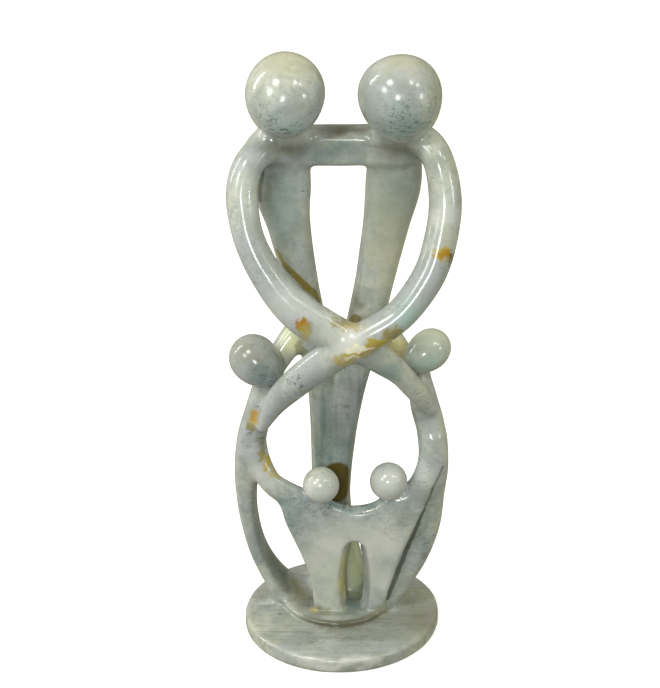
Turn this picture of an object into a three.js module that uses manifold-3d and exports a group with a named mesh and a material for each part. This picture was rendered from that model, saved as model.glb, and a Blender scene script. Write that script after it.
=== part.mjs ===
// A carved soapstone family: two parents, two older children and two small children on one foot disc.
// Millimetres, +Z up. The front faces -Y, and the origin is the centre of the disc's underside.

import * as THREE from 'three';
import { mergeVertices } from 'three/addons/utils/BufferGeometryUtils.js';
import Module from 'manifold-3d';

const wasm = await Module();
wasm.setup();

// The foot disc and the low pad on its back half, which the figures stand on.
const FOOT_DISC = { radius: 66, oval: 1, thickness: 11, topRounding: 3, underRounding: 2.5, sides: 56 };
const PAD = { x: -3, y: 12.5, radiusX: 38, radiusY: 39.5, height: 4, rounding: 2.2, sides: 36 };

// A head is a smooth egg, given by the ball of its crown and the smaller ball of its chin.
// A limb is a list of stations, each [x, y, z, half width, half depth], joined by a smooth curve.
const LEFT_PARENT = {
  head: { crown: [-35.9, 8, 380], crownRadius: 25, chin: [-36.6, 4, 375.2], chinRadius: 23.4 },
  neck: [
    [-36.3, 10, 366, 16, 12],
    [-36.8, 19, 340, 15.5, 11],
  ],
  body: [
    [-37.5, 23, 343, 16, 11],
    [-38.6, 24, 311, 18.4, 12],
    [-34.5, 25, 283, 14, 13],
    [-28.6, 26, 250, 11.7, 14],
    [-21.3, 26, 214, 10.3, 15],
    [-13.5, 26, 168, 9.8, 15],
    [-12, 26, 110, 9, 15],
    [-12, 27, 60, 9, 15],
    [-12, 28, 8, 10.5, 16],
  ],
  arm: [
    [-37, 20, 344, 11, 11],
    [-49.6, 11, 342.2, 9.7, 11],
    [-60, 1, 332, 10, 11],
    [-63.2, -7, 314, 10.3, 11],
    [-57.5, -17, 288, 10, 11],
    [-42, -26, 262, 11.3, 11],
    [-24, -31, 244.5, 13, 11],
    [2, -32, 229, 11.8, 10],
    [22, -27, 214.3, 9.8, 9],
    [37, -20, 199, 7.8, 8.5],
    [49, -12, 181, 6.8, 7.5],
    [57, -7, 168, 4, 5],
  ],
};
const RIGHT_PARENT = {
  head: { crown: [35.4, 8, 376.9], crownRadius: 26.4, chin: [36.9, 5, 370.8], chinRadius: 22.4 },
  neck: [
    [36.5, 9, 362, 16, 12],
    [34.5, 19, 338, 17, 11],
  ],
  body: [
    [33, 23, 343, 16, 11],
    [32.3, 24, 315, 18, 12],
    [27.5, 25, 284, 15, 13],
    [21, 26, 246, 12.7, 14],
    [13.5, 26, 208, 12, 15],
    [4, 26, 162, 10.2, 15],
    [-1.3, 26, 110, 8.2, 15],
    [-1, 27, 66, 8.2, 15],
    [8, 28, 8, 12, 16],
  ],
  arm: [
    [34, 20, 344, 11, 11],
    [48, 12, 347, 11, 11],
    [59, 2, 338, 10, 11],
    [64, -6, 314, 10.6, 11],
    [61.5, -14.5, 291.3, 10.7, 11],
    [53.6, -23, 268.6, 10.6, 11],
    [36.4, -30.5, 246.2, 10.2, 11],
    [14.4, -35, 232.1, 10.8, 10.5],
    [-6, -33.5, 218.5, 11, 10],
    [-28, -26, 197, 10, 9],
    [-43, -17, 177, 8, 8],
    [-52, -11, 156.5, 4, 5],
  ],
};
const SHOULDER_BAR = [
  [-34, 23, 339, 11.9, 12],
  [0, 23, 339.3, 11.9, 12],
  [34, 23, 339.6, 11.9, 12],
];
const LEFT_CHILD = {
  footTurn: 14,
  head: { crown: [-58.2, 2, 199.3], crownRadius: 15.9, chin: [-49.7, -3, 193.1], chinRadius: 12.4 },
  body: [
    [-49, 3, 184, 8, 8],
    [-54.5, 3, 163, 9, 10],
    [-60, 4, 140, 9.8, 12],
    [-62.8, 6, 118, 9, 13],
    [-64, 7, 98, 7, 11],
    [-62.4, 9, 76, 5.8, 10],
    [-57, 11, 52, 5.3, 10.5],
    [-48.3, 13, 32, 5.8, 12],
    [-38.5, 16, 16, 7.5, 14],
    [-27, 18, 8, 7, 13],
  ],
  rearArm: [
    [-48, 12, 182, 7, 8],
    [-38, 18, 198, 8.5, 8],
    [-22, 26, 216, 11, 9],
  ],
  frontArm: [
    [-58, 0, 131, 8, 9],
    [-50, -6, 115.8, 7.6, 7],
    [-43.3, -8, 108.9, 8, 6.5],
    [-27, -9, 98, 10, 6.5],
  ],
};
const RIGHT_CHILD = {
  footTurn: -8,
  head: { crown: [57.4, 2, 206.9], crownRadius: 13.4, chin: [50.8, -3, 202.8], chinRadius: 11.3 },
  body: [
    [50, 3, 190, 6.5, 7],
    [53.5, 3, 168, 9.5, 9],
    [58.5, 4, 147, 9.7, 12],
    [61.3, 5, 122, 9.5, 13],
    [57.5, 5.5, 99, 11, 13],
    [53.5, 5.5, 76, 12.5, 13.5],
    [46.6, 6.5, 53, 12, 14],
    [37.6, 8, 33, 10.5, 14.5],
    [29.5, 10, 15, 8, 15.5],
  ],
  rearArm: [
    [50, 12, 183, 7, 8],
    [38, 17, 196, 8, 8],
    [20, 26, 216, 11, 9],
  ],
  frontArm: [
    [60, -2, 143, 7, 8],
    [58.5, -5, 126, 8.5, 7.5],
    [51, -8, 108, 9.5, 6.5],
    [36, -8, 92, 12, 6.5],
  ],
};
const SMALL_HEADS = [
  { centre: [-14, -13, 113.4], radius: 12.3 },
  { centre: [30.6, -13, 116.4], radius: 12.7 },
];

// The slab that is the two small children's joined body. Outlines are [x, z] pairs.
const SLAB = {
  leftEdge: [[-42, 97], [-36.8, 80.7], [-29.6, 63.6], [-23.6, 46.5], [-20.5, 30], [-18.5, 11]],
  rightEdge: [[29, 11], [31, 27], [38.9, 54], [47.3, 77], [55, 97]],
  topEdge: [[46, 107], [31, 105.5], [20, 98], [8, 95], [-4, 98], [-14, 104], [-30, 106]],
  backY: 1.5,
  depth: 14.5,
  rounding: 3,
  lean: 0.045,
};
// The arched slot between the small children's legs, wide at the front and narrower at the back.
const SLOT = { x: 8.5, topZ: 70.5, archHeight: 10, bottomZ: 14.1, frontWidth: 22.2, backWidth: 11 };

const STONE = { color: 0xaab0a2, roughness: 0.25, metalness: 0 };

// How much narrower an egg is than its crown ball, and how fast it narrows, by its two balls' radii.
const EGG_NARROWING = 0.02;
const EGG_TAPER = 2.6;

const FRONT_TO_BACK = new THREE.Vector3(0, 1, 0);
const SAME_CORNER = 1e-4;

// A section's exponent is 2 for an ellipse, and more for a squarer outline. The caps are flat ones,
// `cap` mm deep.
const LIMB_SECTION = { exponent: 2, sides: 12, cap: 4 };
const BODY_SECTION = { exponent: 2.7, sides: 14, cap: 3 };
const BAR_SECTION = { exponent: 4, sides: 16, cap: 4 };
const STEPS_PER_STATION = 2;
const CAP_RINGS = 2;
const PARENT_HEAD_GRID = { sides: 22, rings: 13 };
const CHILD_HEAD_GRID = { sides: 18, rings: 11 };
const SMALL_HEAD_GRID = { sides: 16, rings: 10 };
const ROUNDING_STEPS = { underDisc: 2, topOfDisc: 3, pad: 2, slab: 2, arch: 8 };
const SLAB_STEPS = { left: 8, right: 7, top: 12 };
const CUTTER_REACH = 4;

// A closed solid from a closed geometry: shared corners merged, faces turned to point out.
function solidOf(geometry) {
  const bare = geometry.clone();
  bare.deleteAttribute('normal');
  bare.deleteAttribute('uv');
  const merged = mergeVertices(bare, SAME_CORNER);
  const corners = merged.getAttribute('position').array;
  const index = merged.getIndex().array;
  const triangles = [];
  for (let i = 0; i < index.length; i += 3) {
    const [a, b, c] = [index[i], index[i + 1], index[i + 2]];
    if (a !== b && b !== c && c !== a) triangles.push(a, b, c);
  }
  if (signedVolume(corners, triangles) < 0) triangles.reverse();
  return new wasm.Manifold(new wasm.Mesh({
    numProp: 3,
    vertProperties: new Float32Array(corners),
    triVerts: new Uint32Array(triangles),
  }));
}

function signedVolume(corners, triangles) {
  const at = (i) => new THREE.Vector3().fromArray(corners, 3 * i);
  let volume = 0;
  for (let i = 0; i < triangles.length; i += 3) {
    volume += at(triangles[i]).cross(at(triangles[i + 1])).dot(at(triangles[i + 2])) / 6;
  }
  return volume;
}

// Moves a point of the unit circle out towards the square that holds it.
function squared(x, z, exponent) {
  const radius = Math.hypot(x, z);
  if (radius === 0) return [0, 0];
  const bend = (v) => Math.sign(v) * Math.abs(v / radius) ** (2 / exponent) * radius;
  return [bend(x), bend(z)];
}

// A limb with round ends: a capsule bent along the curve through its stations. Its section's width
// axis lies across the front, and turns about the limb as it goes, up to `lastTurn` degrees.
function limb(stations, { exponent, sides, cap } = LIMB_SECTION, lastTurn = 0) {
  const path = smoothCurve(stations.map(([x, y, z]) => [x, y, z]));
  const sizes = smoothCurve(stations.map((station) => [station[3], station[4], 0]));
  const steps = (stations.length - 1) * STEPS_PER_STATION;
  const geometry = new THREE.CapsuleGeometry(1, steps, CAP_RINGS, sides, steps);
  const points = geometry.getAttribute('position');
  for (let i = 0; i < points.count; i += 1) {
    const height = THREE.MathUtils.clamp(points.getY(i), -steps / 2, steps / 2);
    const along = height / steps + 0.5;
    const pastEnd = (points.getY(i) - height) * cap;
    const [across, through] = squared(points.getX(i), points.getZ(i), exponent);
    const size = sizes.getPoint(along);
    const tangent = path.getTangent(along);
    const widthAxis = new THREE.Vector3().crossVectors(FRONT_TO_BACK, tangent).normalize();
    widthAxis.applyAxisAngle(tangent, THREE.MathUtils.degToRad(lastTurn * along));
    const depthAxis = new THREE.Vector3().crossVectors(tangent, widthAxis);
    const place = path.getPoint(along)
      .addScaledVector(tangent, pastEnd)
      .addScaledVector(widthAxis, across * size.x)
      .addScaledVector(depthAxis, through * size.y);
    points.setXYZ(i, place.x, place.y, place.z);
  }
  return solidOf(geometry);
}

function smoothCurve(rows) {
  return new THREE.CatmullRomCurve3(rows.map((row) => new THREE.Vector3(...row)), false, 'catmullrom');
}

// A smooth egg that is wider toward its crown.
function egg({ crown, crownRadius, chin, chinRadius }, { sides, rings }) {
  const middle = new THREE.Vector3(...crown);
  const axis = new THREE.Vector3(...chin).sub(middle);
  const halfLength = (axis.length() + crownRadius + chinRadius) / 2;
  const halfWidth = crownRadius - (crownRadius - chinRadius) * EGG_NARROWING;
  const taper = EGG_TAPER * (crownRadius - chinRadius) / (crownRadius + chinRadius);
  axis.normalize();
  middle.addScaledVector(axis, halfLength - crownRadius);
  const profile = [];
  for (let i = 0; i <= rings; i += 1) {
    const angle = Math.PI * i / rings;
    const along = Math.cos(angle);
    const out = Math.sin(angle) * Math.sqrt(1 - taper * along);
    profile.push(new THREE.Vector2(out * halfWidth, along * halfLength));
  }
  profile[0].x = 0;
  profile[rings].x = 0;
  const geometry = new THREE.LatheGeometry(profile, sides);
  geometry.applyQuaternion(new THREE.Quaternion().setFromUnitVectors(FRONT_TO_BACK, axis));
  geometry.translate(middle.x, middle.y, middle.z);
  return solidOf(geometry);
}

function ball({ centre, radius }) {
  const geometry = new THREE.SphereGeometry(radius, SMALL_HEAD_GRID.sides, SMALL_HEAD_GRID.rings);
  geometry.rotateX(Math.PI / 2);
  geometry.translate(...centre);
  return solidOf(geometry);
}

// A quarter round from one angle on, about [x, y]: radii may differ across and up.
function quarterRound(x, y, across, up, from, steps) {
  const points = [];
  for (let i = 0; i <= steps; i += 1) {
    const angle = from + (Math.PI / 2) * (i / steps);
    points.push(new THREE.Vector2(x + across * Math.cos(angle), y + up * Math.sin(angle)));
  }
  return points;
}

// Turns a profile of [radius, height] points about +Z.
function turned(profile, sides) {
  const geometry = new THREE.LatheGeometry(profile, sides);
  geometry.rotateX(Math.PI / 2);
  return geometry;
}

// The disc is cut by hand, and a little oval: its long axis runs from the front left to the back right.
function footDisc() {
  const { radius, oval, thickness, topRounding, underRounding, sides } = FOOT_DISC;
  const profile = [
    new THREE.Vector2(0, 0),
    ...quarterRound(
      radius - underRounding, underRounding, underRounding, underRounding,
      -Math.PI / 2, ROUNDING_STEPS.underDisc,
    ),
    ...quarterRound(
      radius - topRounding, thickness - topRounding, topRounding, topRounding,
      0, ROUNDING_STEPS.topOfDisc,
    ),
    new THREE.Vector2(0, thickness),
  ];
  const geometry = turned(profile, sides);
  const points = geometry.getAttribute('position');
  for (let i = 0; i < points.count; i += 1) {
    const azimuth = Math.atan2(points.getY(i), points.getX(i));
    const stretch = 1 + oval / radius * Math.sin(2 * azimuth);
    points.setXY(i, points.getX(i) * stretch, points.getY(i) * stretch);
  }
  return solidOf(geometry);
}

// The pad is turned with a radius of 1 and then stretched. Its lower half is inside the disc.
function pad() {
  const { x, y, radiusX, radiusY, height, rounding, sides } = PAD;
  const buried = FOOT_DISC.thickness / 2;
  const top = buried + height;
  const inset = rounding / radiusX;
  const profile = [
    new THREE.Vector2(0, 0),
    new THREE.Vector2(1, 0),
    ...quarterRound(1 - inset, top - rounding, inset, rounding, 0, ROUNDING_STEPS.pad),
    new THREE.Vector2(0, top),
  ];
  const geometry = turned(profile, sides);
  geometry.scale(radiusX, radiusY, 1);
  geometry.translate(x, y, FOOT_DISC.thickness - buried);
  return solidOf(geometry);
}

// Stands a shape drawn in x and z upright, so that it is extruded from the back to the front.
function standing(shape, backY, depth, bevel) {
  const geometry = new THREE.ExtrudeGeometry(shape, {
    depth: depth - 2 * bevel,
    bevelEnabled: bevel > 0,
    bevelSize: bevel,
    bevelThickness: bevel,
    bevelOffset: -bevel,
    bevelSegments: ROUNDING_STEPS.slab,
    curveSegments: ROUNDING_STEPS.arch,
  });
  geometry.rotateX(Math.PI / 2);
  geometry.translate(0, backY - bevel, 0);
  return geometry;
}

function slabBlank() {
  const edge = (rows, steps) => smoothCurve(rows.map(([x, z]) => [x, z, 0])).getPoints(steps);
  const outline = [
    ...edge(SLAB.leftEdge, SLAB_STEPS.left),
    ...edge(SLAB.rightEdge, SLAB_STEPS.right),
    ...edge(SLAB.topEdge, SLAB_STEPS.top),
  ];
  const shape = new THREE.Shape(outline.map((point) => new THREE.Vector2(point.x, point.y)));
  return standing(shape, SLAB.backY, SLAB.depth, SLAB.rounding);
}

// The slot's cutter: an arch as wide as the front of the slot, drawn in towards the back.
function slotCutter() {
  const { x, topZ, archHeight, bottomZ, frontWidth, backWidth } = SLOT;
  const half = frontWidth / 2;
  const shape = new THREE.Shape();
  shape.moveTo(-half, bottomZ);
  shape.lineTo(half, bottomZ);
  shape.lineTo(half, topZ - archHeight);
  shape.absellipse(0, topZ - archHeight, half, archHeight, 0, Math.PI);
  const geometry = standing(shape, SLAB.backY + CUTTER_REACH, SLAB.depth + 2 * CUTTER_REACH, 0);
  const points = geometry.getAttribute('position');
  for (let i = 0; i < points.count; i += 1) {
    const fromFront = (points.getY(i) - SLAB.backY + SLAB.depth) / SLAB.depth;
    const width = THREE.MathUtils.lerp(frontWidth, backWidth, fromFront) / frontWidth;
    points.setX(i, x + points.getX(i) * width);
  }
  return geometry;
}

// The top of the slab stands a little further forward than its foot.
function leaned(geometry) {
  const points = geometry.getAttribute('position');
  for (let i = 0; i < points.count; i += 1) {
    points.setY(i, points.getY(i) - SLAB.lean * (points.getZ(i) - FOOT_DISC.thickness));
  }
  return geometry;
}

function smallChildren() {
  const slab = solidOf(leaned(slabBlank())).subtract(solidOf(leaned(slotCutter())));
  return [slab, ...SMALL_HEADS.map(ball)];
}

function parent({ head, neck, body, arm }) {
  return [egg(head, PARENT_HEAD_GRID), limb(neck), limb(body, BODY_SECTION), limb(arm)];
}

// An older child's leg turns a little on its way down to the foot.
function olderChild({ footTurn, head, body, rearArm, frontArm }) {
  return [
    egg(head, CHILD_HEAD_GRID),
    limb(body, BODY_SECTION, footTurn),
    limb(rearArm),
    limb(frontArm),
  ];
}

function joined(solids) {
  return solids.reduce((whole, solid) => whole.add(solid));
}

// The solid's corners and triangles as a geometry with flat faces.
function geometryOf(solid) {
  const { vertProperties, triVerts, numProp } = solid.getMesh();
  const corners = [];
  for (let i = 0; i < vertProperties.length; i += numProp) {
    corners.push(vertProperties[i], vertProperties[i + 1], vertProperties[i + 2]);
  }
  const geometry = new THREE.BufferGeometry();
  geometry.setAttribute('position', new THREE.Float32BufferAttribute(corners, 3));
  geometry.setIndex([...triVerts]);
  geometry.computeVertexNormals();
  return geometry;
}

const stone = joined([
  footDisc(),
  pad(),
  ...parent(LEFT_PARENT),
  ...parent(RIGHT_PARENT),
  limb(SHOULDER_BAR, BAR_SECTION),
  ...olderChild(LEFT_CHILD),
  ...olderChild(RIGHT_CHILD),
  ...smallChildren(),
]);

const soapstoneFamily = new THREE.Mesh(geometryOf(stone), new THREE.MeshStandardMaterial(STONE));
soapstoneFamily.name = 'soapstone_family';

const sculpture = new THREE.Group();
sculpture.add(soapstoneFamily);

export default sculpture;
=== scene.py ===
import math

import bpy
import numpy as np
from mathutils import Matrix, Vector


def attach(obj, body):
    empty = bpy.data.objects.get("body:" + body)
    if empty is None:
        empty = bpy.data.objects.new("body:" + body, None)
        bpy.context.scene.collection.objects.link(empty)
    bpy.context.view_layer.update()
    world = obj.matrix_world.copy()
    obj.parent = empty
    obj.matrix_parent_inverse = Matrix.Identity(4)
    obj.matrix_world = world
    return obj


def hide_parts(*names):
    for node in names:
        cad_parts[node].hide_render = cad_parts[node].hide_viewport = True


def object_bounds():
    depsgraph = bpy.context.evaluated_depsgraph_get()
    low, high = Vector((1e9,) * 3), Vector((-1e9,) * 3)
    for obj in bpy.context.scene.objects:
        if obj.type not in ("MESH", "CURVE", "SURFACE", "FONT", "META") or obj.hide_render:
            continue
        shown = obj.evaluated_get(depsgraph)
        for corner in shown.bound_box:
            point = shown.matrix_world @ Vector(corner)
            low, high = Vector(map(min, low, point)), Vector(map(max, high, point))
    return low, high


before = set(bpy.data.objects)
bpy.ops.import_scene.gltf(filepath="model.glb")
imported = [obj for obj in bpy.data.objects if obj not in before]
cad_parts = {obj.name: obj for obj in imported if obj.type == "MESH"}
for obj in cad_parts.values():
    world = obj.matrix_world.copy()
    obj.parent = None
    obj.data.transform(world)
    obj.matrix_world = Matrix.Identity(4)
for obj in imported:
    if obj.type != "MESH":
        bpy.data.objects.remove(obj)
cad_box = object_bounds()

# A carved soapstone family: two parents, two older children and two small children on one foot disc.
# The stone is one smooth skin over a field of distances, in millimetres, and is placed in metres.
# +Z is up, the front faces -Y, and the origin is the centre of the disc's underside.

METRE = 0.001
CAD_LOW, CAD_HIGH = np.array(cad_box) / METRE

# The foot disc and the low pad on its back half, which the figures stand on.
FOOT_DISC = {"radius": 66, "oval": 1, "thickness": 11, "top_rounding": 3.5, "under_rounding": 2.5}
PAD = {"x": -3, "y": 12.5, "radius_x": 38, "radius_y": 39.5, "height": 4, "rounding": 2.2}

# A head is a smooth egg, given by the ball of its crown and the smaller ball of its chin, and a small
# head is one ball. A ball is (x, y, z, radius).
# A limb is a list of stations, each (x, y, z, half width, half depth), joined by a smooth curve.
LEFT_PARENT = {
    "head": [(-35.9, 8, 380, 25), (-36.6, 4, 375.2, 23.4)],
    "neck": [(-36.3, 10, 366, 16, 12), (-36.8, 19, 340, 15.5, 11)],
    "body": [
        (-37.5, 23, 343, 16, 11),
        (-38.6, 24, 311, 18.4, 12),
        (-34.5, 25, 283, 14, 13),
        (-28.6, 26, 250, 11.7, 14),
        (-21.3, 26, 214, 10.3, 15),
        (-13.5, 26, 168, 9.8, 15),
        (-12, 26, 110, 9, 15),
        (-12, 27, 60, 9, 15),
        (-12, 28, 8, 10.5, 16),
    ],
    "arm": [
        (-37, 20, 344, 11, 11),
        (-49.6, 11, 342.2, 9.7, 11),
        (-60, 1, 332, 10, 11),
        (-63.2, -7, 314, 10.3, 11),
        (-57.5, -17, 288, 10, 11),
        (-42, -26, 262, 11.3, 11),
        (-24, -31, 244.5, 13, 11),
        (2, -32, 229, 11.8, 10),
        (22, -27, 214.3, 9.8, 9),
        (37, -20, 199, 7.8, 8.5),
        (49, -12, 181, 6.8, 7.5),
        (57, -7, 168, 4, 5),
    ],
}
RIGHT_PARENT = {
    "head": [(35.4, 8, 376.9, 26.4), (36.9, 5, 370.8, 22.4)],
    "neck": [(36.5, 9, 362, 16, 12), (34.5, 19, 338, 17, 11)],
    "body": [
        (33, 23, 343, 16, 11),
        (32.3, 24, 315, 18, 12),
        (27.5, 25, 284, 15, 13),
        (21, 26, 246, 12.7, 14),
        (13.5, 26, 208, 12, 15),
        (4, 26, 162, 10.2, 15),
        (-1.3, 26, 110, 8.2, 15),
        (-1, 27, 66, 8.2, 15),
        (8, 28, 8, 12, 16),
    ],
    "arm": [
        (34, 20, 344, 11, 11),
        (48, 12, 347, 11, 11),
        (59, 2, 338, 10, 11),
        (64, -6, 314, 10.6, 11),
        (61.5, -14.5, 291.3, 10.7, 11),
        (53.6, -23, 268.6, 10.6, 11),
        (36.4, -30.5, 246.2, 10.2, 11),
        (14.4, -35, 232.1, 10.8, 10.5),
        (-6, -33.5, 218.5, 11, 10),
        (-28, -26, 197, 10, 9),
        (-43, -17, 177, 8, 8),
        (-52, -11, 156.5, 4, 5),
    ],
}
SHOULDER_BAR = [(-34, 23, 339, 11.9, 12), (0, 23, 339.3, 11.9, 12), (34, 23, 339.6, 11.9, 12)]
LEFT_CHILD = {
    "foot_turn": 14,
    "head": [(-58.2, 2, 199.3, 15.9), (-49.7, -3, 193.1, 12.4)],
    "body": [
        (-49, 3, 184, 8, 8),
        (-54.5, 3, 163, 9, 10),
        (-60, 4, 140, 9.8, 12),
        (-62.8, 6, 118, 9, 13),
        (-64, 7, 98, 7, 11),
        (-62.4, 9, 76, 5.8, 10),
        (-57, 11, 52, 5.3, 10.5),
        (-48.3, 13, 32, 5.8, 12),
        (-38.5, 16, 16, 7.5, 14),
        (-27, 18, 8, 7, 13),
    ],
    "rear_arm": [(-48, 12, 182, 7, 8), (-38, 18, 198, 8.5, 8), (-22, 26, 216, 11, 9)],
    "front_arm": [
        (-58, 0, 131, 8, 9),
        (-50, -6, 115.8, 7.6, 7),
        (-43.3, -8, 108.9, 8, 6.5),
        (-27, -9, 98, 10, 6.5),
    ],
}
RIGHT_CHILD = {
    "foot_turn": -8,
    "head": [(57.4, 2, 206.9, 13.4), (50.8, -3, 202.8, 11.3)],
    "body": [
        (50, 3, 190, 6.5, 7),
        (53.5, 3, 168, 9.5, 9),
        (58.5, 4, 147, 9.7, 12),
        (61.3, 5, 122, 9.5, 13),
        (57.5, 5.5, 99, 11, 13),
        (53.5, 5.5, 76, 12.5, 13.5),
        (46.6, 6.5, 53, 12, 14),
        (37.6, 8, 33, 10.5, 14.5),
        (29.5, 10, 15, 8, 15.5),
    ],
    "rear_arm": [(50, 12, 183, 7, 8), (38, 17, 196, 8, 8), (20, 26, 216, 11, 9)],
    "front_arm": [
        (60, -2, 143, 7, 8),
        (58.5, -5, 126, 8.5, 7.5),
        (51, -8, 108, 9.5, 6.5),
        (36, -8, 92, 12, 6.5),
    ],
}
SMALL_HEADS = [(-14, -13, 113.4, 12.3), (30.6, -13, 116.4, 12.7)]

# The slab that is the two small children's joined body. Its edges are (x, z) pairs. Its front is a
# little crowned, and its upper edge is rounder than the rest.
SLAB = {
    "left_edge": [(-42, 97), (-36.8, 80.7), (-29.6, 63.6), (-23.6, 46.5), (-20.5, 30), (-18.5, 8)],
    "right_edge": [(29, 8), (31, 27), (38.9, 54), (47.3, 77), (55, 97)],
    "top_edge": [(46, 107), (31, 105.5), (20, 98), (8, 95), (-4, 98), (-14, 104), (-30, 106)],
    "back_y": 1.5,
    "depth": 14.5,
    "lean": 0.045,
    "edge_rounding": 4,
    "top_rounding": 9,
    "top_from": 84,
    "top_blend": 12,
    "crown": 1.2,
    "crown_reach": 20,
}
# The arched slot between the small children's legs, wide at the front and narrower at the back.
SLOT = {
    "x": 8.5,
    "top_z": 70.5,
    "arch_height": 12,
    "bottom_z": 14.1,
    "front_width": 22.2,
    "back_width": 11,
    "belly": 2.4,
    "past_faces": 0.3,
    "edge_rounding": 2.2,
}

# How square a section is: 2 is an oval, and more is nearer to a rectangle. A cap is a rounded end.
LIMB_EXPONENT = 2
BODY_EXPONENT = 2.7
BAR_EXPONENT = 4
LIMB_CAP = 4
BODY_CAP = 3
# How much narrower an egg is than its crown ball, and how fast it narrows, by its two balls' radii.
EGG_NARROWING = 0.02
EGG_TAPER = 2.6

# How far two pieces flow into each other where they meet.
FLOW = {
    "pad_on_disc": 1.2,
    "foot_on_pad": 5,
    "parents_together": 7,
    "bar": 7,
    "neck": 7,
    "chin": 1.8,
    "shoulder": 9,
    "crossing": 3.5,
    "child": 8,
    "child_chin": 2.2,
    "rear_arm": 6,
    "front_arm": 6,
    "slab": 3.2,
    "small_head": 2,
}

# The skin: cells of the search grid, and how the mesh is evened out on the field.
COARSE_CELL = 6.68
CELLS_IN_COARSE = 4
CELL = COARSE_CELL / CELLS_IN_COARSE
GRID_MARGIN = 8
RELAX_ROUNDS = 4
RELAX_SHARE = 0.6
# A piece counts only within its reach, and the skin lies a little inside the faceted solid.
REACH = 12
FAR_AWAY = 40.0
INSET = 0.2
# Steps of a smooth curve from station to station, and of an edge of the slab.
PATH_STEPS = 14
EDGE_STRIDE = 3
# The field's slope is read at four corners about a point. Flat and empty places have a least slope.
PROBE = 0.05
PROBE_CORNERS = np.array([(1, 1, 1), (1, -1, -1), (-1, 1, -1), (-1, -1, 1)])
LEAST_STEEPNESS = 0.25
LEAST_LIMB_SLOPE = 0.3
TINY = 1e-3

# The hand-rubbed surface isn't quite even: it has long shallow waves, from a seeded draw.
WAVES = {"seed": 11, "count": 16, "shortest": 16, "longest": 42, "height": 0.02}


def unit(vectors):
    return vectors / np.linalg.norm(vectors, axis=-1, keepdims=True)


def smooth_curve(rows):
    """A smooth curve through rows of numbers, with PATH_STEPS steps from each row to the next."""
    rows = np.array(rows, float)
    before = 2 * rows[0] - rows[1]
    after = 2 * rows[-1] - rows[-2]
    knots = np.vstack([before, rows, after])
    spans = len(rows) - 1
    along = np.linspace(0, spans, spans * PATH_STEPS + 1)
    span = np.minimum(along.astype(int), spans - 1)
    s = (along - span)[:, None]
    a, b, c, d = (knots[span + i] for i in range(4))
    bend = 2 * a - 5 * b + 4 * c - d
    twist = 3 * b - a - 3 * c + d
    return 0.5 * (2 * b + (c - a) * s + bend * s**2 + twist * s**3)


def flow(a, b, reach):
    """The nearer of two distances, with a fillet where they are less than reach apart."""
    return np.minimum(a, b) - np.maximum(reach - np.abs(a - b), 0) ** 2 / (4 * reach)


def cut(a, b, reach):
    """The distance to a without b, with its edges rounded."""
    return -flow(-a, b, reach)


class Limb:
    """A squashed tube along a smooth curve. Its width axis lies across the front and may turn."""

    def __init__(self, stations, exponent=LIMB_EXPONENT, cap=LIMB_CAP, last_turn=0):
        curve = smooth_curve(stations)
        self.middle = curve[:, :3]
        self.half = curve[:, 3:5]
        self.exponent = exponent
        self.cap = cap
        self.tangent = unit(np.gradient(self.middle, axis=0))
        across = unit(np.cross((0, 1, 0), self.tangent))
        turn = np.radians(last_turn) * np.linspace(0, 1, len(curve))[:, None]
        self.width = across * np.cos(turn) + np.cross(self.tangent, across) * np.sin(turn)
        self.depth = np.cross(self.tangent, self.width)
        margin = self.half.max() + REACH
        self.low = self.middle.min(0) - margin
        self.high = self.middle.max(0) + margin

    def distance(self, points):
        """Distance by the section at the nearest place on the curve."""
        gaps = (self.middle**2).sum(1) - 2 * points @ self.middle.T
        nearest = gaps.argmin(1)
        offset = ((points - self.middle[nearest]) * self.tangent[nearest]).sum(1)
        step = np.linalg.norm(np.gradient(self.middle, axis=0), axis=1)[nearest]
        place = np.clip(nearest + offset / step, 0, len(self.middle) - 1)
        first = np.minimum(place.astype(int), len(self.middle) - 2)
        share = (place - first)[:, None]

        def at(rows):
            return rows[first] * (1 - share) + rows[first + 1] * share

        away = points - at(self.middle)
        half = at(self.half)
        u = np.abs((away * at(self.width)).sum(1)) / half[:, 0]
        v = np.abs((away * at(self.depth)).sum(1)) / half[:, 1]
        n = self.exponent
        section = np.maximum((u**n + v**n) ** (1 / n), TINY)
        slope = np.hypot(u ** (n - 1) / half[:, 0], v ** (n - 1) / half[:, 1]) / section ** (n - 1)
        ends = np.isin(nearest, (0, len(self.middle) - 1))
        past = np.where(ends, (away * at(self.tangent)).sum(1), 0) / self.cap
        whole = np.hypot(section, past)
        steepness = np.hypot(section * slope, past / self.cap) / whole
        return (whole - 1) / np.maximum(steepness, LEAST_LIMB_SLOPE / half.max(1))


class Egg:
    """A smooth egg that is wider toward its crown."""

    def __init__(self, crown_ball, chin_ball):
        *crown, crown_radius = crown_ball
        *chin, chin_radius = chin_ball
        axis = np.subtract(chin, crown)
        apart = np.linalg.norm(axis)
        self.axis = axis / apart
        self.half_length = (apart + crown_radius + chin_radius) / 2
        self.middle = crown + self.axis * (self.half_length - crown_radius)
        self.half_width = crown_radius - (crown_radius - chin_radius) * EGG_NARROWING
        self.taper = EGG_TAPER * (crown_radius - chin_radius) / (crown_radius + chin_radius)
        margin = self.half_length + REACH
        self.low = self.middle - margin
        self.high = self.middle + margin

    def distance(self, points):
        away = points - self.middle
        along = away @ self.axis
        out = np.sqrt(np.maximum((away**2).sum(1) - along**2, 0))
        t = along / self.half_length
        width = self.half_width * np.sqrt(1 - self.taper * np.clip(t, -1, 1))
        section = out / width
        whole = np.maximum(np.hypot(section, t), TINY)
        slope = np.hypot(section / width, t / self.half_length) / whole
        return (whole - 1) / np.maximum(slope, TINY)


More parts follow.
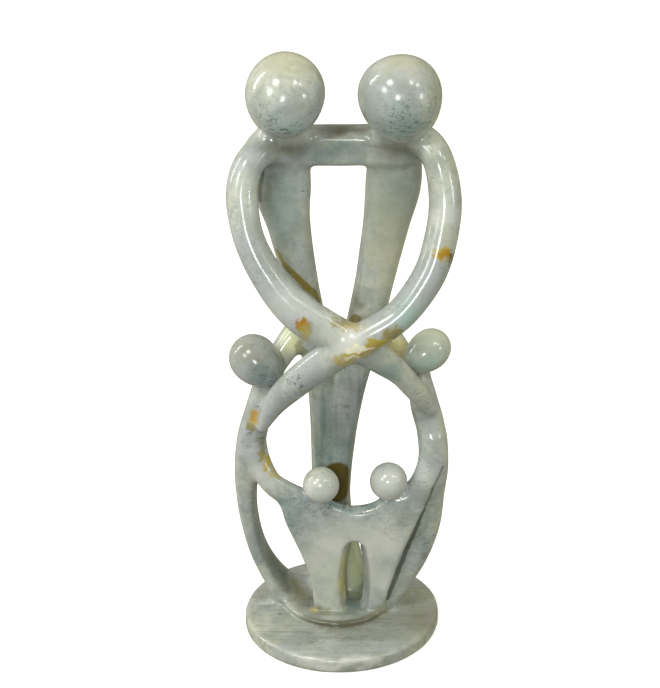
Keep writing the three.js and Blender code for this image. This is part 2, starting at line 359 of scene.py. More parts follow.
class Ball:
    """A small child's round head."""

    def __init__(self, x, y, z, radius):
        self.centre = np.array((x, y, z), float)
        self.radius = radius
        self.low = self.centre - radius - REACH
        self.high = self.centre + radius + REACH

    def distance(self, points):
        return np.linalg.norm(points - self.centre, axis=1) - self.radius


class FootDisc:
    """The disc is cut by hand, and a little oval: its long axis runs from front left to back right."""

    def __init__(self):
        reach = FOOT_DISC["radius"] + FOOT_DISC["oval"] + REACH
        self.low = np.array((-reach, -reach, -REACH))
        self.high = np.array((reach, reach, FOOT_DISC["thickness"] + REACH))

    def distance(self, points):
        radius, thickness = FOOT_DISC["radius"], FOOT_DISC["thickness"]
        azimuth = np.arctan2(points[:, 1], points[:, 0])
        stretch = 1 + FOOT_DISC["oval"] / radius * np.sin(2 * azimuth)
        out = np.hypot(points[:, 0], points[:, 1]) / stretch - radius
        up = np.abs(points[:, 2] - thickness / 2) - thickness / 2
        upper = points[:, 2] > thickness / 2
        rounding = np.where(upper, FOOT_DISC["top_rounding"], FOOT_DISC["under_rounding"])
        inner = np.minimum(np.maximum(out + rounding, up + rounding), 0)
        return inner + np.hypot(np.maximum(out + rounding, 0), np.maximum(up + rounding, 0)) - rounding


class Pad:
    """The low oval step on the disc, with a rounded edge."""

    def __init__(self):
        reach = max(PAD["radius_x"], PAD["radius_y"]) + REACH
        self.top = FOOT_DISC["thickness"] + PAD["height"]
        self.low = np.array((PAD["x"] - reach, PAD["y"] - reach, -REACH))
        self.high = np.array((PAD["x"] + reach, PAD["y"] + reach, self.top + REACH))

    def distance(self, points):
        x = (points[:, 0] - PAD["x"]) / PAD["radius_x"]
        y = (points[:, 1] - PAD["y"]) / PAD["radius_y"]
        ring = np.maximum(np.hypot(x, y), TINY)
        slope = np.hypot(x / PAD["radius_x"], y / PAD["radius_y"]) / ring
        side = (ring - 1) / np.maximum(slope, TINY)
        return -flow(-side, self.top - points[:, 2], PAD["rounding"])


class Slab:
    """The small children's joined body, with the slot between their legs cut through."""

    def __init__(self):
        edges = [SLAB["left_edge"], SLAB["right_edge"], SLAB["top_edge"]]
        self.outline = np.vstack([smooth_curve(edge)[::EDGE_STRIDE] for edge in edges])
        low_x, low_z = self.outline.min(0) - REACH
        high_x, high_z = self.outline.max(0) + REACH
        self.low = np.array((low_x, SLAB["back_y"] - SLAB["depth"] - 2 * REACH, low_z))
        self.high = np.array((high_x, SLAB["back_y"] + REACH, high_z))

    def from_outline(self, x, z):
        """Distance to the outline in the slab's own plane, less than 0 inside it."""
        sides = np.roll(self.outline, -1, axis=0) - self.outline
        nearest = np.full(len(x), np.inf)
        inside = np.zeros(len(x), bool)
        for (ax, az), (ex, ez) in zip(self.outline, sides):
            along = np.clip(((x - ax) * ex + (z - az) * ez) / (ex**2 + ez**2), 0, 1)
            gap = np.hypot(x - ax - along * ex, z - az - along * ez)
            nearest = np.minimum(nearest, gap)
            if ez != 0:
                crosses = (az > z) != (az + ez > z)
                inside ^= crosses & (x < ax + ex * (z - az) / ez)
        return np.where(inside, -nearest, nearest)

    def from_slot(self, x, y, z):
        """Distance to the slot: straight jambs that bulge a little, under an arch."""
        past = SLOT["past_faces"]
        through = np.clip((y - SLAB["back_y"] + SLAB["depth"]) / SLAB["depth"], -past, 1 + past)
        width = SLOT["front_width"] + (SLOT["back_width"] - SLOT["front_width"]) * through
        spring = SLOT["top_z"] - SLOT["arch_height"]
        middle = (spring + SLOT["bottom_z"]) / 2
        belly = SLOT["belly"] * ((z - middle) / (spring - middle)) ** 2
        half = width / 2 - np.minimum(belly, SLOT["belly"])
        across = np.abs(x - SLOT["x"]) / half
        up = np.maximum(z - spring, 0) / SLOT["arch_height"]
        ring = np.maximum(np.hypot(across, up), TINY)
        slope = np.hypot(across / half, up / SLOT["arch_height"]) / ring
        arch = (ring - 1) / np.maximum(slope, TINY)
        return np.maximum(arch, SLOT["bottom_z"] - z)

    def distance(self, points):
        x, z = points[:, 0], points[:, 2]
        y = points[:, 1] + SLAB["lean"] * (z - FOOT_DISC["thickness"])
        front = SLAB["back_y"] - SLAB["depth"]
        middle = (SLAB["back_y"] + front) / 2
        outline = self.from_outline(x, z)
        crown = SLAB["crown"] * np.clip(-outline / SLAB["crown_reach"], 0, 1)
        faces = np.abs(y - middle) - SLAB["depth"] / 2 - np.where(y < middle, crown - SLAB["crown"], 0)
        to_top = np.clip((z - SLAB["top_from"]) / SLAB["top_blend"], 0, 1)
        rounding = SLAB["edge_rounding"] + (SLAB["top_rounding"] - SLAB["edge_rounding"]) * to_top
        blank = -flow(-outline, -faces, rounding)
        return cut(blank, self.from_slot(x, y, z), SLOT["edge_rounding"])


def body(stations, turn=0):
    return Limb(stations, BODY_EXPONENT, BODY_CAP, turn)


def parents():
    """The parents' joined bodies, the bar between their shoulders, their necks and crossed arms."""
    return [
        (body(LEFT_PARENT["body"]), FLOW["foot_on_pad"]),
        (body(RIGHT_PARENT["body"]), FLOW["parents_together"]),
        (Limb(SHOULDER_BAR, BAR_EXPONENT), FLOW["bar"]),
        (Limb(LEFT_PARENT["neck"]), FLOW["neck"]),
        (Limb(RIGHT_PARENT["neck"]), FLOW["neck"]),
        (Limb(LEFT_PARENT["arm"]), FLOW["shoulder"]),
        (Limb(RIGHT_PARENT["arm"]), FLOW["crossing"]),
    ]


def older_child(child):
    """An older child's body, and its arms to the parent behind it and to the slab in front."""
    return [
        (body(child["body"], child["foot_turn"]), FLOW["child"]),
        (Limb(child["rear_arm"], BODY_EXPONENT), FLOW["rear_arm"]),
        (Limb(child["front_arm"]), FLOW["front_arm"]),
    ]


def heads():
    children = [(Egg(*child["head"]), FLOW["child_chin"]) for child in (LEFT_CHILD, RIGHT_CHILD)]
    adults = [(Egg(*parent["head"]), FLOW["chin"]) for parent in (LEFT_PARENT, RIGHT_PARENT)]
    return children + adults + [(Ball(*head), FLOW["small_head"]) for head in SMALL_HEADS]


def stone_parts():
    """Every piece of the carving, in the order in which they join, each with its flow."""
    foot = [(FootDisc(), 0), (Pad(), FLOW["pad_on_disc"])]
    children = older_child(LEFT_CHILD) + older_child(RIGHT_CHILD)
    return [*foot, *parents(), *children, (Slab(), FLOW["slab"]), *heads()]


def hand_waves():
    """The long shallow waves: which way and how fast each one rises and falls, and its phase."""
    draw = np.random.default_rng(WAVES["seed"])
    directions = unit(draw.normal(size=(WAVES["count"], 3)))
    lengths = draw.uniform(WAVES["shortest"], WAVES["longest"], WAVES["count"])
    phases = draw.uniform(0, 2 * np.pi, WAVES["count"])
    return directions * (2 * np.pi / lengths)[:, None], phases


class Stone:
    """The whole carving as one field of distances."""

    def __init__(self):
        self.parts = stone_parts()
        self.waves, self.phases = hand_waves()

    def nearby(self, points):
        """For each piece, the numbers of the points that it can reach."""
        lists = []
        for part, _ in self.parts:
            boxed = np.flatnonzero(np.all((points > part.low) & (points < part.high), axis=1))
            lists.append(boxed[part.distance(points[boxed]) < REACH])
        return lists

    def distance(self, points, nearby=None):
        """Distance to the skin, less than 0 inside the stone, with nothing below the floor."""
        whole = np.full(len(points), FAR_AWAY)
        for (part, reach), near in zip(self.parts, nearby or self.nearby(points)):
            apart = part.distance(points[near])
            whole[near] = flow(whole[near], apart, reach) if reach else np.minimum(whole[near], apart)
        wave = WAVES["height"] * np.sin(points @ self.waves.T + self.phases).sum(1)
        return np.maximum(whole + INSET + wave, -points[:, 2])

    def probed(self, points):
        """The field and its gradient, from four probes about each point."""
        nearby = self.nearby(points)
        readings = [self.distance(points + PROBE * corner, nearby) for corner in PROBE_CORNERS]
        rise = sum(reading[:, None] * corner for reading, corner in zip(readings, PROBE_CORNERS))
        return sum(readings) / len(readings), rise / (len(readings) * PROBE)

    def onto_skin(self, points, rounds=1):
        """Moves points down the field's slope until they lie on the skin."""
        for _ in range(rounds):
            distance, slope = self.probed(points)
            steepness = np.maximum((slope**2).sum(1), LEAST_STEEPNESS)
            points = points - slope * np.clip(distance / steepness, -CELL, CELL)[:, None]
        return points


def grid_field(stone):
    """The field on a fine grid, worked out only near the skin."""
    low = CAD_LOW - GRID_MARGIN
    high = CAD_HIGH + GRID_MARGIN
    coarse = np.ceil((high - low) / COARSE_CELL).astype(int)
    fine = coarse * CELLS_IN_COARSE + 1
    axes = [low[i] + CELL * np.arange(fine[i]) for i in range(3)]
    middles = [low[i] + COARSE_CELL * (np.arange(coarse[i]) + 0.5) for i in range(3)]
    centres = np.stack(np.meshgrid(*middles, indexing="ij"), -1).reshape(-1, 3)
    field = stone.distance(centres).reshape(coarse)
    for axis in range(3):
        field = np.repeat(field, CELLS_IN_COARSE, axis)
    field = np.pad(field, ((0, 1), (0, 1), (0, 1)), mode="edge")
    near = np.abs(field) < COARSE_CELL
    near |= np.abs(np.roll(field, (1, 1, 1), (0, 1, 2))) < COARSE_CELL
    places = np.argwhere(near)
    points = np.stack([axes[i][places[:, i]] for i in range(3)], 1)
    field[near] = stone.distance(points)
    return field, low


def surface_net(field, low):
    """One vertex in each cell that the skin crosses, and a quad about each grid edge that it crosses."""
    inside = field < 0
    shape = np.array(field.shape)
    total = np.zeros((*(shape - 1), 3))
    count = np.zeros(shape - 1)
    steps = np.array([(i, j, k) for i in (0, 1) for j in (0, 1) for k in (0, 1)])
    # A cell has four grid edges along each axis, and its vertex is the middle of their crossings.
    for axis in range(3):
        for start in steps[steps[:, axis] == 0]:
            end = start + np.eye(3, dtype=int)[axis]
            a = field[tuple(slice(s, s + n - 1) for s, n in zip(start, shape))]
            b = field[tuple(slice(s, s + n - 1) for s, n in zip(end, shape))]
            crossed = (a < 0) != (b < 0)
            where = np.nonzero(crossed)
            share = a[crossed] / (a[crossed] - b[crossed])
            place = np.tile(start.astype(float), (len(share), 1))
            place[:, axis] += share
            total[where] += place
            count[where] += 1
    active = count > 0
    number = np.full(shape - 1, -1)
    number[active] = np.arange(active.sum())
    corners = np.argwhere(active) + total[active] / count[active][:, None]
    points = low + CELL * corners
    # The four cells about a crossed grid edge make a quad, turned so that it faces outward.
    faces = []
    for axis in range(3):
        u, v = (axis + 1) % 3, (axis + 2) % 3
        a = inside[tuple(slice(0, -1) if i == axis else slice(1, -1) for i in range(3))]
        b = inside[tuple(slice(1, None) if i == axis else slice(1, -1) for i in range(3))]
        for crossed, leaving in ((a & ~b, True), (~a & b, False)):
            base = np.argwhere(crossed)
            base[:, u] += 1
            base[:, v] += 1
            ring = []
            for du, dv in ((1, 1), (0, 1), (0, 0), (1, 0)):
                cell = base.copy()
                cell[:, u] -= du
                cell[:, v] -= dv
                ring.append(number[tuple(cell.T)])
            quads = np.stack(ring, 1)
            faces.append(quads if leaving else quads[:, ::-1])
    return points, np.vstack(faces)


def evened(points, faces, stone):
    """Moves each vertex to the middle of its neighbours and back onto the skin, a few times."""
    pairs = np.vstack([faces[:, [i, (i + 1) % 4]] for i in range(4)])
    starts = np.concatenate([pairs[:, 0], pairs[:, 1]])
    ends = np.concatenate([pairs[:, 1], pairs[:, 0]])
    degree = np.bincount(starts, minlength=len(points))[:, None]
    for _ in range(RELAX_ROUNDS):
        middle = np.stack([np.bincount(starts, points[ends, i], len(points)) for i in range(3)], 1) / degree
        points = stone.onto_skin((1 - RELAX_SHARE) * points + RELAX_SHARE * middle)
    return stone.onto_skin(points, 2)


def stone_mesh():
    """The skin as a mesh in metres, with the field's own slopes as its normals."""
    stone = Stone()
    field, low = grid_field(stone)
    points, faces = surface_net(field, low)
    points = stone.onto_skin(points)
    points = np.clip(evened(points, faces, stone), CAD_LOW, CAD_HIGH)
    normals = unit(stone.probed(points)[1])
    mesh = bpy.data.meshes.new("carved_soapstone_family")
    mesh.from_pydata((points * METRE).tolist(), [], faces.tolist())
    mesh.shade_smooth()
    mesh.normals_split_custom_set_from_vertices(normals.tolist())
    return mesh


# The stone's own tones, and the tones used for painted shade and painted highlights, as they look on a
# screen, 0 to 255.
TONES = {
    "pale": (190, 193, 183),
    "lavender": (172, 176, 182),
    "grey": (146, 153, 147),
    "blue_green": (124, 146, 146),
    "teal": (98, 122, 124),
    "cream": (200, 198, 166),
    "olive": (112, 108, 66),
    "ochre": (176, 156, 62),
    "rust": (168, 116, 8),
    "white_vein": (232, 228, 208),
    "chalk": (214, 216, 212),
    "fleck": (50, 70, 70),
    "shadow": (84, 88, 82),
    "umber": (88, 86, 66),
    "pistachio": (232, 238, 196),
    "mint": (162, 186, 180),
    "ivory": (214, 220, 202),
    "straw": (222, 224, 178),
    "sage": (162, 166, 148),
    "khaki": (140, 128, 68),
    "moss": (92, 78, 24),
}

# Tints that lie in one place: tone, middle, reach along x, y and z, and how strongly. Millimetres.
# Some of them are painted shade, painted light or a painted highlight, as marked.
TINTS = [
    ("cream", (-36, 4, 403), (32, 30, 16), 0.5),
    ("cream", (36, 4, 402), (32, 30, 16), 0.5),
    ("mint", (-34, -16, 366), (24, 18, 14), 0.6),
    ("grey", (-50, -4, 378), (12, 26, 26), 0.4),
    ("grey", (16, -4, 382), (12, 26, 26), 0.6),
    ("blue_green", (38, -16, 368), (26, 18, 20), 0.8),
    # Painted shade down the right side of each parent's head.
    ("olive", (-10, 8, 384), (9, 26, 30), 0.45),
    ("olive", (64, 8, 382), (15, 28, 32), 0.6),
    # Painted shade under the parents' chins, on their necks.
    ("umber", (-34, 6, 345), (28, 20, 13), 0.8),
    ("umber", (34, 6, 342), (28, 20, 14), 0.8),
    # Painted shade on the top of the shoulder bar.
    ("umber", (0, 20, 351), (30, 20, 6), 0.9),
    ("teal", (-4, 10, 338), (34, 14, 13), 0.65),
    ("teal", (-42, 16, 300), (18, 22, 52), 0.4),
    # Painted shade on the left parent's body beside the inner edge of the left arm.
    ("umber", (-47, 16, 316), (7, 18, 40), 0.4),
    ("sage", (-20, 14, 292), (10, 14, 60), 0.7),
    ("mint", (-38, 12, 300), (12, 14, 40), 0.4),
    ("sage", (30, 14, 300), (34, 16, 60), 0.8),
    ("teal", (32, 14, 318), (24, 20, 26), 0.35),
    ("cream", (28, 14, 262), (18, 14, 40), 0.5),
    # The crossed arms' painted shadow on the right parent's body, just above the crossing.
    ("olive", (8, 12, 234), (10, 12, 10), 0.9),
    ("chalk", (-60, -14, 306), (14, 16, 50), 0.5),
    ("chalk", (-34, -38, 252), (36, 16, 26), 0.5),
    ("chalk", (4, -44, 232), (34, 16, 22), 0.75),
    ("chalk", (62, -18, 306), (14, 16, 46), 0.5),
    ("lavender", (56, -34, 268), (14, 14, 22), 0.7),
    ("grey", (62, -30, 267), (10, 14, 18), 0.45),
    ("mint", (42, -40, 250), (18, 14, 18), 0.9),
    ("blue_green", (29, -32, 207), (17, 12, 11), 0.75),
    ("lavender", (-20, -36, 206), (28, 14, 18), 0.9),
    ("lavender", (-52, -26, 262), (16, 16, 30), 0.7),
    ("mint", (53, -12, 204), (14, 14, 10), 1.0),
    ("ivory", (57, -4, 219), (20, 20, 13), 1.0),
    ("ivory", (54, -10, 209), (16, 16, 12), 0.35),
    ("olive", (-62, -4, 206), (20, 20, 18), 0.6),
    ("teal", (-50, -12, 194), (13, 14, 13), 0.75),
    ("shadow", (-49, -2, 186), (16, 14, 9), 0.5),
    ("straw", (-33, 12, 204), (16, 16, 18), 1.0),
    ("straw", (36, 10, 202), (14, 16, 12), 0.9),
    ("teal", (-12, 16, 150), (12, 18, 86), 0.45),
    ("teal", (0, 16, 118), (26, 14, 44), 0.7),
    ("teal", (-54, 10, 60), (12, 16, 52), 0.5),
    ("teal", (-44, 14, 34), (16, 16, 30), 0.8),
    # Painted shade on the inner side of the left child's leg.
    ("umber", (-38, 8, 30), (12, 16, 18), 0.7),
    ("umber", (-47, 8, 44), (9, 14, 20), 0.8),
    ("lavender", (58, -2, 158), (12, 12, 26), 0.5),
    ("shadow", (50, 4, 158), (8, 14, 26), 0.5),
    # The right child's paler elbow, partly a painted highlight.
    ("chalk", (56, -10, 122), (12, 9, 18), 0.65),
    ("teal", (52, 4, 78), (16, 18, 62), 0.75),
    # Painted shade in the crease under the hand on the left child's chest.
    ("olive", (-51.5, -6, 143), (6, 10, 11), 0.8),
    ("chalk", (-52, -12, 120), (13, 9, 16), 0.6),
    ("blue_green", (0, -10, 101), (66, 16, 12), 1.0),
    ("teal", (2, -12, 100), (30, 12, 7), 0.6),
    ("blue_green", (-36, -10, 84), (14, 14, 30), 0.9),
    ("pale", (8, -18, 48), (56, 12, 54), 0.9),
    ("chalk", (2, -18, 64), (50, 9, 34), 0.6),
    ("chalk", (30, -18, 40), (20, 9, 40), 0.7),
    ("chalk", (32, -18, 72), (24, 9, 30), 0.6),
    ("chalk", (-14, -18, 30), (18, 9, 30), 0.25),
    ("chalk", (-14, -18, 112), (20, 18, 20), 1.0),
    ("chalk", (30.6, -18, 115), (20, 18, 20), 1.0),
    # The column's pale green through the slot, made paler still: painted light against the slot's shade.
    ("pistachio", (10, 14, 38), (20, 16, 66), 1.0),
    ("olive", (56, -10, 10), (30, 50, 8), 0.55),
    ("grey", (0, 0, 12), (90, 90, 9), 0.95),
    ("umber", (0, 0, 12), (90, 90, 9), 0.25),
    # A painted highlight along the disc's front rim.
    ("chalk", (2, -65, 7), (60, 9, 6), 1.0),
    ("shadow", (0, 0, 12), (50, 36, 9), 0.35),
    # Painted shade where the left child's foot meets the pad, and in the creases at the slab's feet.
    ("olive", (-31, 10, 18), (14, 18, 9), 0.85),
    ("umber", (-22, 0, 16), (10, 14, 6), 0.5),
    ("olive", (-14, -14, 16), (9, 8, 6), 0.7),
    ("olive", (26, -13, 16), (9, 8, 7), 0.6),
    # Painted shade on the floor of the slot.
    ("teal", (8, -6, 15), (12, 16, 5), 1.0),
    ("lavender", (-20, -52, 8), (60, 18, 10), 0.6),
    ("ochre", (0, -5, 40), (5, 12, 34), 0.4),
    ("straw", (0, -5, 42), (6, 12, 36), 1.0),
]

# Stains with broken edges: tone, middle, reach, and strength. Millimetres.
# One olive mark among them is painted shade, as marked.
STAINS = [
    ("khaki", (-24.5, -41, 243), (7, 9, 7), 0.7),
    ("rust", (-26, -42, 244), (4.6, 8, 5), 1.0),
    ("ochre", (-24.5, -40, 237), (5, 9, 10), 0.7),
    ("sage", (65.5, -23, 297), (7, 10, 9), 0.5),
    ("ochre", (63.5, -26.5, 287), (8, 10, 6.5), 1.0),
    ("rust", (64.5, -26, 285.5), (6, 9, 4.5), 0.8),
    ("moss", (68, -23, 280.5), (4, 10, 6.5), 0.9),
    ("ochre", (1, -43, 220.5), (10, 10, 7), 0.8),
    ("ochre", (10, -44, 225), (12, 10, 6.5), 0.9),
    ("ochre", (22, -43, 232), (12, 10, 6.5), 1.0),
    ("khaki", (31, -41, 238.5), (9, 10, 7), 0.9),
    ("rust", (16, -44, 227), (8, 9, 3), 0.5),
    ("white_vein", (10, -45, 228.4), (13, 7, 2.6), 1.0),
    ("white_vein", (6, -45, 222.5), (7, 7, 2.4), 0.7),
    ("khaki", (0, -36, 243.5), (14, 9, 3.2), 0.7),
    ("ochre", (7, -36, 240.5), (11, 9, 3), 0.6),
    ("khaki", (-60, -7.5, 153.5), (3.6, 8, 5.5), 0.9),
    ("ochre", (-57.3, -8, 160), (4, 8, 7.5), 0.8),
    ("rust", (-56.8, -8.3, 161), (2.8, 8, 5.5), 0.7),
    ("khaki", (-53, -8, 133), (3.6, 8, 5), 0.8),
    ("ochre", (-49.8, -8.3, 128.5), (4.2, 9, 7), 1.0),
    ("ochre", (-44.5, -7, 120), (6, 9, 4), 0.6),
    ("ochre", (36, 11, 202), (9, 12, 9), 0.45),
    ("khaki", (28, 12, 206), (5, 12, 8), 0.5),
    ("ochre", (0.8, -5, 42), (3.6, 10, 28), 0.6),
    # Painted shade in the corner where the left child's rear arm meets the parent's body.
    ("olive", (-27, 12, 200), (4, 8, 12), 0.6),
    ("ochre", (-19, -12, 16), (4, 5, 3), 0.5),
]

# Painted shadows and painted shade in creases, with sharp edges, drawn as strokes: tone, start, end,
# half width, and strength.
SHADOW_STROKES = [
    # The left arm's painted shadow on the left parent's body, with a darker core.
    ("khaki", (-42.5, 15, 269.5), (-37.2, 13, 260.6), 1.9, 0.9),
    ("khaki", (-37.2, 13, 260.6), (-24.4, 12.3, 246.6), 2.4, 1.0),
    ("khaki", (-24.4, 12.3, 246.6), (-12, 20, 230), 2.8, 1.0),
    ("umber", (-38, 13, 260), (-14, 18, 232), 1.5, 0.5),
    # Painted shade in the crease between the left arm's inner edge and the body.
    ("umber", (-51.5, 13, 327), (-53.3, 15.5, 304), 2, 0.6),
    # The left small head's painted shadow on the column behind it.
    ("moss", (-3.5, 11, 108), (-3.5, 12, 96), 10.5, 1.0),
    # The crossed arms' painted shadow on the right parent's body.
    ("khaki", (9, 14, 222), (2, 16, 217), 4, 0.9),
    # Painted shade in the groove between the slab and the right child's leg.
    ("shadow", (66, -9.7, 125), (60, -12, 110), 1.4, 0.6),
    ("shadow", (60, -12, 110), (54.2, -8.9, 92), 1.6, 0.7),
    ("shadow", (54.2, -8.9, 92), (44.2, -7.6, 63), 1.8, 0.9),
    ("shadow", (44.2, -7.6, 63), (30.9, -6.4, 21.5), 1.9, 0.9),
]

# Where the stone is finely crackled: middle, reach, and how strongly. Millimetres.
CRACKLED = [
    ((37, -16, 369), (28, 24, 26), 1.0),
    ((-46, -12, 370), (20, 24, 24), 0.8),
    ((-34, -20, 362), (26, 20, 15), 1.0),
    ((-17, -8, 368), (10, 16, 20), 0.7),
    ((56, -6, 376), (12, 22, 24), 0.6),
    ((-50, -10, 194), (17, 16, 17), 1.0),
    ((56, -6, 204), (12, 12, 10), 0.6),
    ((-50, -22, 264), (26, 18, 40), 0.85),
    ((-65, -16, 302), (12, 16, 30), 0.5),
    ((60, -20, 272), (18, 16, 26), 0.7),
    ((-22, -32, 200), (34, 18, 22), 0.9),
    ((0, -12, 100), (62, 18, 15), 1.0),
    ((-34, -10, 84), (16, 14, 26), 0.9),
    ((54, 0, 78), (16, 18, 52), 0.9),
    ((34, -14, 84), (14, 12, 20), 0.5),
    ((0, -40, 11), (60, 28, 10), 0.5),
]

# Where the stone is clear and even, with hardly any flecks: middle and reach. Millimetres.
CLEAR = [
    ((8, -18, 50), (52, 20, 50)),
    ((-14, -14, 114), (20, 20, 20)),
    ((31, -14, 116), (20, 20, 20)),
    ((26, 14, 280), (24, 24, 70)),
    ((-36, 4, 402), (40, 40, 26)),
    ((36, 4, 400), (40, 40, 24)),
    ((-33, 14, 204), (16, 16, 18)),
    ((0, 20, 340), (80, 22, 20)),
    ((4, -40, 228), (40, 24, 20)),
]

# Where the polish is duller: middle, reach, and how much rougher. Millimetres.
DULLER = [
    ((0, 0, 9), (78, 78, 8), 0.07),
    ((6, -18, 52), (44, 14, 46), 0.12),
    ((0, 30, 200), (60, 22, 170), 0.1),
]

# Cloudy patterns: the size of a cloud in millimetres, how finely it is broken up, the noise levels
# between which it comes in, its values at those two ends where they aren't 0 and 1, how it is
# squeezed along x, y and z, and how it is distorted. A streak is long where the squeeze is small.
# The shift, in metres, keeps two patterns apart.
PATTERNS = {
    "clouds": {"size": 46, "detail": 2, "levels": (0.38, 0.62), "distortion": 0.4},
    "mottle": {"size": 12, "detail": 6, "levels": (0.42, 0.66), "shift": (0.3, 0.1, 0)},
    "grain": {"size": 3.2, "detail": 4, "levels": (0.45, 0.7), "shift": (0.1, 0.7, 0)},
    "level_streaks": {
        "size": 16, "detail": 4, "levels": (0.42, 0.62), "squeeze": (0.22, 1.5, 1), "distortion": 0.5,
    },
    "fine_streaks": {
        "size": 7, "detail": 3, "levels": (0.5, 0.68), "squeeze": (0.16, 2.2, 1), "distortion": 0.4,
        "shift": (0.2, 0, 0),
    },
    "upright_streaks": {
        "size": 8, "detail": 3, "levels": (0.46, 0.66), "squeeze": (1.6, 1, 0.1), "distortion": 0.3,
        "shift": (0, 0.3, 0),
    },
    "clusters": {"size": 20, "detail": 2, "levels": (0.46, 0.66), "shift": (0, 0.2, 0.4)},
    "grains": {"size": 1.2, "detail": 2, "levels": (0.62, 0.72)},
    "dashes": {
        "size": 4.5, "detail": 2, "levels": (0.665, 0.69), "squeeze": (0.7, 1, 3), "distortion": 0.3,
        "shift": (0.9, 0.4, 0),
    },
    "specks": {"size": 0.9, "detail": 2, "levels": (0.54, 0.66), "shift": (0.6, 0, 0)},
    "breaks": {"size": 5, "detail": 3, "levels": (0.45, 0.53), "shift": (0.3, 0.8, 0)},
    "flakes": {"size": 2.4, "detail": 4, "levels": (0.34, 0.5), "ends": (0.7, 1), "shift": (0.5, 0, 0.2)},
    "polish": {"size": 9, "detail": 4, "levels": (0.3, 0.7), "ends": (0.17, 0.21)},
}
# How strongly each pattern colours the stone.
STRENGTHS = {
    "mottle": 0.6,
    "grain": 0.5,
    "level_streaks": 0.2,
    "fine_streaks": 0.26,
    "upright_streaks": 0.5,
    "grains": 0.5,
    "dashes": 0.55,
    "specks": 0.45,
}
# The crackle's thin lines lie where a noise is within this band of its middle level.
CRACKLE = {"size": 5.5, "detail": 2, "squeeze": (0.7, 1, 1.9), "distortion": 0.6}
CRACKLE_BAND = 0.042
# How the edges of tints, stains and strokes are shaken: the size of a bend, and how far. Millimetres.
SHAKEN = {"tints": (18, 9), "stains": (5, 6), "strokes": (8, 0.8)}
SHAKE_DETAIL = 4
# The share of a region that is at its full strength: 0 is only its middle, and 1 is all of it.
SOLID = {"disc": 0.7, "bodies": 0.8, "pad": 0.4, "clear": 0.7, "stain": 0.45, "stroke": 0.75, "duller": 0.6}
# Where the streaks are, each a middle and a reach: the foot disc, and the joined bodies.
DISC_REGION = ((0, 0, 6), (90, 90, 12))
BODIES_REGION = ((-4, 30, 140), (34, 26, 120))
# The painted shade on the pad's side: where it comes in and goes, as shares of the pad's radius, its
# region in front, and how strong it is.
PAD_SIDE_SHADE = {
    "comes": (0.86, 0.97),
    "goes": (1.04, 1.005),
    "region": ((2, -30, 13), (46, 40, 5)),
    "strength": 0.9,
}
# The polished skin: how strongly it mirrors, and its low bumps, with their height in millimetres.
MIRROR_INDEX = 1.6
BUMPS = {"size": 5, "detail": 3, "shift": (0.2, 0.2, 0.2)}
BUMP_STRENGTH = 0.025
BUMP_HEIGHT = 0.2


def screen(name):
    """A tone as the light it reflects, in linear red, green and blue, by the screens' own formula."""
    channels = (c / 255 for c in TONES[name])
    return (*(c / 12.92 if c <= 0.04045 else ((c + 0.055) / 1.055) ** 2.4 for c in channels), 1)


class Nodes:
    """A tree of shading nodes, built up from their outputs."""

    def __init__(self, tree):
        self.tree = tree

    def add(self, kind, inputs=None, **settings):
        node = self.tree.nodes.new("ShaderNode" + kind)
        for name, value in settings.items():
            setattr(node, name, value)
        for name, value in (inputs or {}).items():
            self.feed(node.inputs[name], value)
        return node

    def feed(self, socket, value):
        """Gives a socket its value, or a link where the value is another node's output."""
        if isinstance(value, bpy.types.NodeSocket):
            self.tree.links.new(value, socket)
        else:
            socket.default_value = value

    def vector(self, operation, a, b):
        return self.add("VectorMath", {0: a, 1: b}, operation=operation).outputs[0]

    def scaled(self, a, scale):
        return self.add("VectorMath", {0: a, "Scale": scale}, operation="SCALE").outputs[0]

    def length(self, a):
        return self.add("VectorMath", {0: a}, operation="LENGTH").outputs["Value"]

    def along(self, a, b):
        return self.add("VectorMath", {0: a, 1: b}, operation="DOT_PRODUCT").outputs["Value"]

    def number(self, operation, a, b=0.0):
        return self.add("Math", {0: a, 1: b}, operation=operation).outputs[0]

    def times(self, a, b):
        return self.number("MULTIPLY", a, b)


